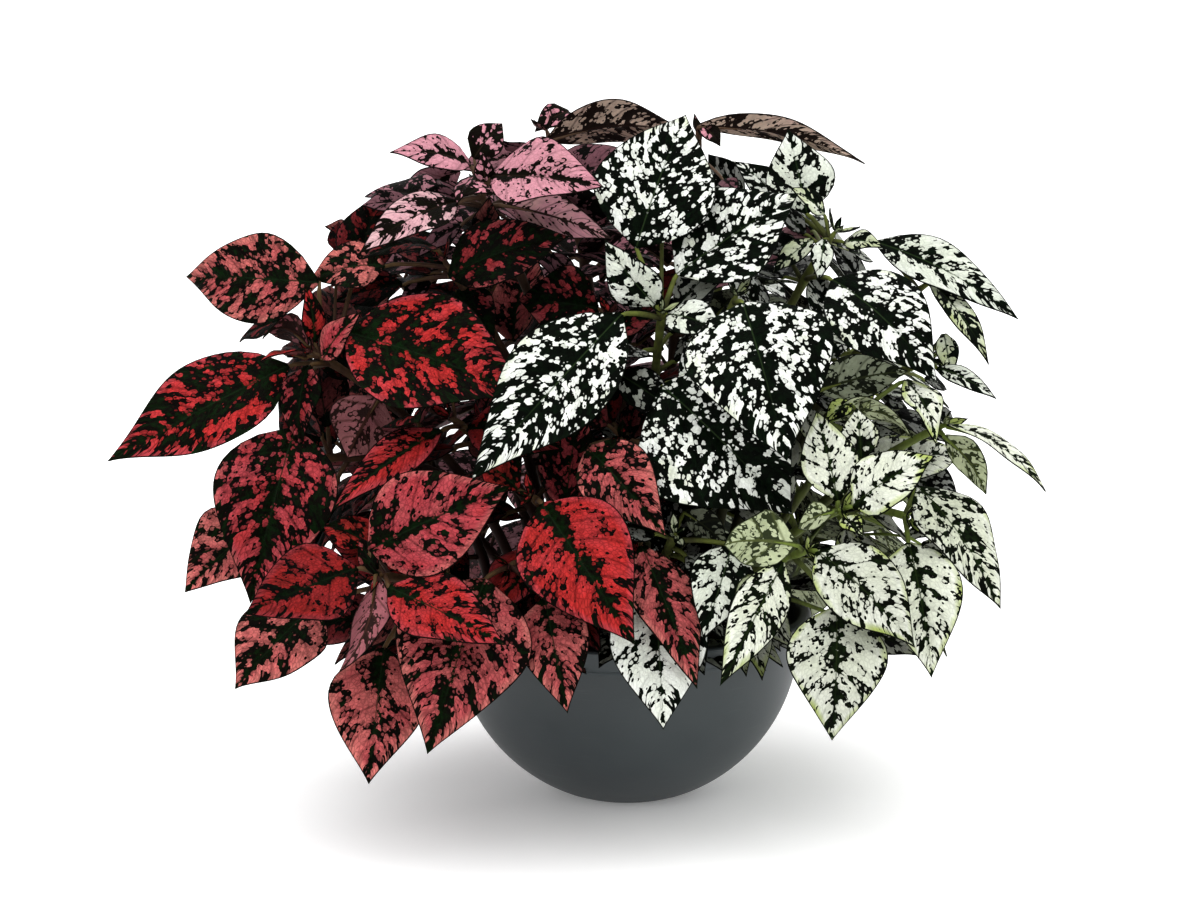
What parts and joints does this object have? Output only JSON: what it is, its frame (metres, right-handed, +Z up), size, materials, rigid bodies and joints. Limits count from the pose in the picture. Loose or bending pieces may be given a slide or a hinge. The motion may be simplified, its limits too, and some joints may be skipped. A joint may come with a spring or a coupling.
{
  "type": "potted polka dot plant",
  "caption": "Potted polka dot plant: a shallow round bowl of soil with leafy stems whose spotted leaves are red, pink, white and cream.",
  "frame": {"origin": "middle of the pot's flat base, on the surface that it stands on", "axes": "+Z up along the pot's axis; -Y towards the viewer, the side seen in the picture; +X to the viewer's right"},
  "size_m": [0.3094, 0.2452, 0.2447],
  "materials": {
    "pot": "satin",
    "soil": "matte",
    "red_foliage": "satin",
    "pink_foliage": "satin",
    "white_foliage": "satin",
    "cream_foliage": "satin"
  },
  "bodies": {
    "root": {"pot": "pot", "soil": "soil", "stem_red_left": "red_foliage", "stem_red_low_left": "red_foliage", "stem_red_mid": "red_foliage", "stem_red_top": "red_foliage", "stem_red_front": "red_foliage", "stem_red_right": "red_foliage", "stem_pink_top": "pink_foliage", "stem_pink_high": "pink_foliage", "stem_pink_right": "pink_foliage", "stem_white_mid": "white_foliage", "stem_white_big": "white_foliage", "stem_white_low": "white_foliage", "stem_white_right": "white_foliage", "stem_white_far_right": "white_foliage", "stem_cream_mid": "cream_foliage", "stem_cream_low": "cream_foliage", "stem_cream_right": "cream_foliage", "stem_red_side": "red_foliage", "stem_red_back_low": "red_foliage", "stem_red_back_top": "red_foliage", "stem_pink_back": "pink_foliage", "stem_pink_back_mid": "pink_foliage", "stem_pink_back_low": "pink_foliage", "stem_white_back": "white_foliage", "stem_white_back_low": "white_foliage", "stem_cream_back": "cream_foliage", "stem_cream_back_low": "cream_foliage", "stem_white_side": "white_foliage", "stem_red_side_top": "red_foliage"}
  },
  "joints": []
}
